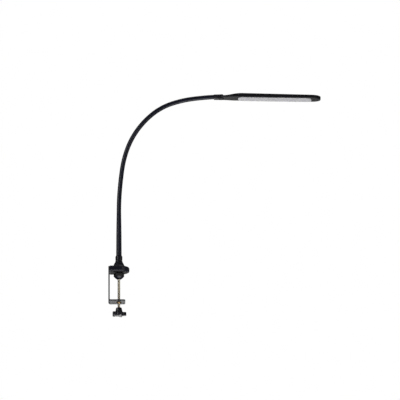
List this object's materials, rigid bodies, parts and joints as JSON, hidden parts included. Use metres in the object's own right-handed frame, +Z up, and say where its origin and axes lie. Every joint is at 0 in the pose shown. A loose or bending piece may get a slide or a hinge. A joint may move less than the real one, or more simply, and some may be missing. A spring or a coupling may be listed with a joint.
{
  "type": "clamp-on gooseneck desk lamp",
  "caption": "Clamp-on desk lamp: steel strap clamp with a screw and pressure pad, a round-nosed base, a bendable sleeved neck and a flat LED head on a friction hinge.",
  "frame": {"origin": "centre of the base's flat underside, where it rests on the desk top, on the axis shared by the neck's foot and the clamp screw", "axes": "+Z up along the neck's foot and the clamp screw, +X from the clamp strap towards the head, +Y to the left of a person looking along +X"},
  "size_m": [0.4712, 0.047, 0.5013],
  "materials": {
    "black_steel": "satin powder coat",
    "zinc_steel": "zinc plated",
    "brass": "machined",
    "black_plastic": "fine spark texture",
    "black_rubber": "matte",
    "neck_rubber": "soft satin",
    "coil_steel": "plain",
    "frosted_plastic": "frosted",
    "board_aluminium": "white solder mask",
    "led_body": "phosphor",
    "board_green": "solder mask",
    "lead_pvc": "insulation"
  },
  "bodies": {
    "clamp_base": {"clamp_bracket": "black_steel", "threaded_bush": "brass", "base_tray": "black_plastic", "desk_pad": "black_rubber", "base_housing": "black_plastic", "base_screws": "zinc_steel", "anchor_plate": "zinc_steel", "bracket_screws": "zinc_steel", "neck_ferrule": "zinc_steel", "ferrule_nut": "zinc_steel", "neck_collar": "black_plastic", "dc_jack": "black_plastic", "base_lead": "lead_pvc"},
    "pressure_pad": {"pad_face": "black_rubber", "pad_cup": "black_plastic"},
    "screw": {"clamp_screw": "zinc_steel", "clamp_knob": "black_plastic", "knob_nut": "zinc_steel", "knob_cap": "black_plastic"},
    "neck_01": {"gooseneck_core_01": "coil_steel", "neck_sleeve_01": "neck_rubber"},
    "neck_02": {"gooseneck_core_02": "coil_steel", "neck_sleeve_02": "neck_rubber"},
    "neck_03": {"gooseneck_core_03": "coil_steel", "neck_sleeve_03": "neck_rubber"},
    "neck_04": {"gooseneck_core_04": "coil_steel", "neck_sleeve_04": "neck_rubber"},
    "neck_05": {"gooseneck_core_05": "coil_steel", "neck_sleeve_05": "neck_rubber"},
    "neck_06": {"gooseneck_core_06": "coil_steel", "neck_sleeve_06": "neck_rubber"},
    "neck_07": {"gooseneck_core_07": "coil_steel", "neck_sleeve_07": "neck_rubber"},
    "neck_08": {"gooseneck_core_08": "coil_steel", "neck_sleeve_08": "neck_rubber"},
    "neck_09": {"gooseneck_core_09": "coil_steel", "neck_sleeve_09": "neck_rubber"},
    "neck_10": {"gooseneck_core_10": "coil_steel", "neck_sleeve_10": "neck_rubber", "neck_fork": "black_plastic", "hinge_screw": "zinc_steel", "hinge_nut": "zinc_steel", "friction_washers": "zinc_steel"},
    "head": {"head_cover": "black_plastic", "head_frame": "black_plastic", "diffuser": "frosted_plastic", "led_board": "board_aluminium", "leds": "led_body", "control_board": "board_green", "tact_switch": "black_plastic", "head_screws": "zinc_steel", "tongue_screws": "zinc_steel", "hinge_tongue": "zinc_steel", "board_leads": "lead_pvc"},
    "button": {"power_button": "black_plastic"}
  },
  "joints": [
    {"name": "clamp_travel", "type": "slide", "parent": "clamp_base", "child": "pressure_pad", "axis": [0, 0, 1], "range_m": [-0.045, 0.002]},
    {"name": "screw_turn", "type": "hinge", "parent": "pressure_pad", "child": "screw", "pos_m": [0, 0, -0.05], "axis": [0, 0, 1], "range_deg": [-16210, 722]},
    {"name": "neck_bend_01", "type": "hinge", "parent": "clamp_base", "child": "neck_01", "pos_m": [0, 0, 0.041], "axis": [0, 1, 0], "range_deg": [-22, 22]},
    {"name": "neck_bend_02", "type": "hinge", "parent": "neck_01", "child": "neck_02", "pos_m": [0, 0, 0.08952], "axis": [1, 0, 0], "range_deg": [-18, 18]},
    {"name": "neck_bend_03", "type": "hinge", "parent": "neck_02", "child": "neck_03", "pos_m": [0, 0, 0.13804], "axis": [0, 1, 0], "range_deg": [-22, 22]},
    {"name": "neck_bend_04", "type": "hinge", "parent": "neck_03", "child": "neck_04", "pos_m": [0.0019, 0, 0.18651], "axis": [0.9969, 0, -0.0785], "range_deg": [-18, 18]},
    {"name": "neck_bend_05", "type": "hinge", "parent": "neck_04", "child": "neck_05", "pos_m": [0.00719, 0, 0.23473], "axis": [0, 1, 0], "range_deg": [-22, 22]},
    {"name": "neck_bend_06", "type": "hinge", "parent": "neck_05", "child": "neck_06", "pos_m": [0.0189, 0, 0.28173], "axis": [0.9397, 0, -0.342], "range_deg": [-18, 18]},
    {"name": "neck_bend_07", "type": "hinge", "parent": "neck_06", "child": "neck_07", "pos_m": [0.04142, 0, 0.32454], "axis": [0, 1, 0], "range_deg": [-22, 22]},
    {"name": "neck_bend_08", "type": "hinge", "parent": "neck_07", "child": "neck_08", "pos_m": [0.07442, 0, 0.35992], "axis": [0.6361, 0, -0.7716], "range_deg": [-18, 18]},
    {"name": "neck_bend_09", "type": "hinge", "parent": "neck_08", "child": "neck_09", "pos_m": [0.11653, 0, 0.3835], "axis": [0, 1, 0], "range_deg": [-22, 22]},
    {"name": "neck_bend_10", "type": "hinge", "parent": "neck_09", "child": "neck_10", "pos_m": [0.16368, 0, 0.3946], "axis": [0.1305, 0, -0.9914], "range_deg": [-18, 18]},
    {"name": "head_tilt", "type": "hinge", "parent": "neck_10", "child": "head", "pos_m": [0.228, 0, 0.3987], "axis": [0, 1, 0], "range_deg": [-80, 80]},
    {"name": "button_press", "type": "slide", "parent": "head", "child": "button", "axis": [-0.0157, 0, -0.9999], "range_m": [0, 0.0006], "stiffness_N_per_m": 1500}
  ],
  "couplings": [
    {"joint": "screw_turn", "follows": "clamp_travel", "rad_per_m": 6283.2}
  ]
}
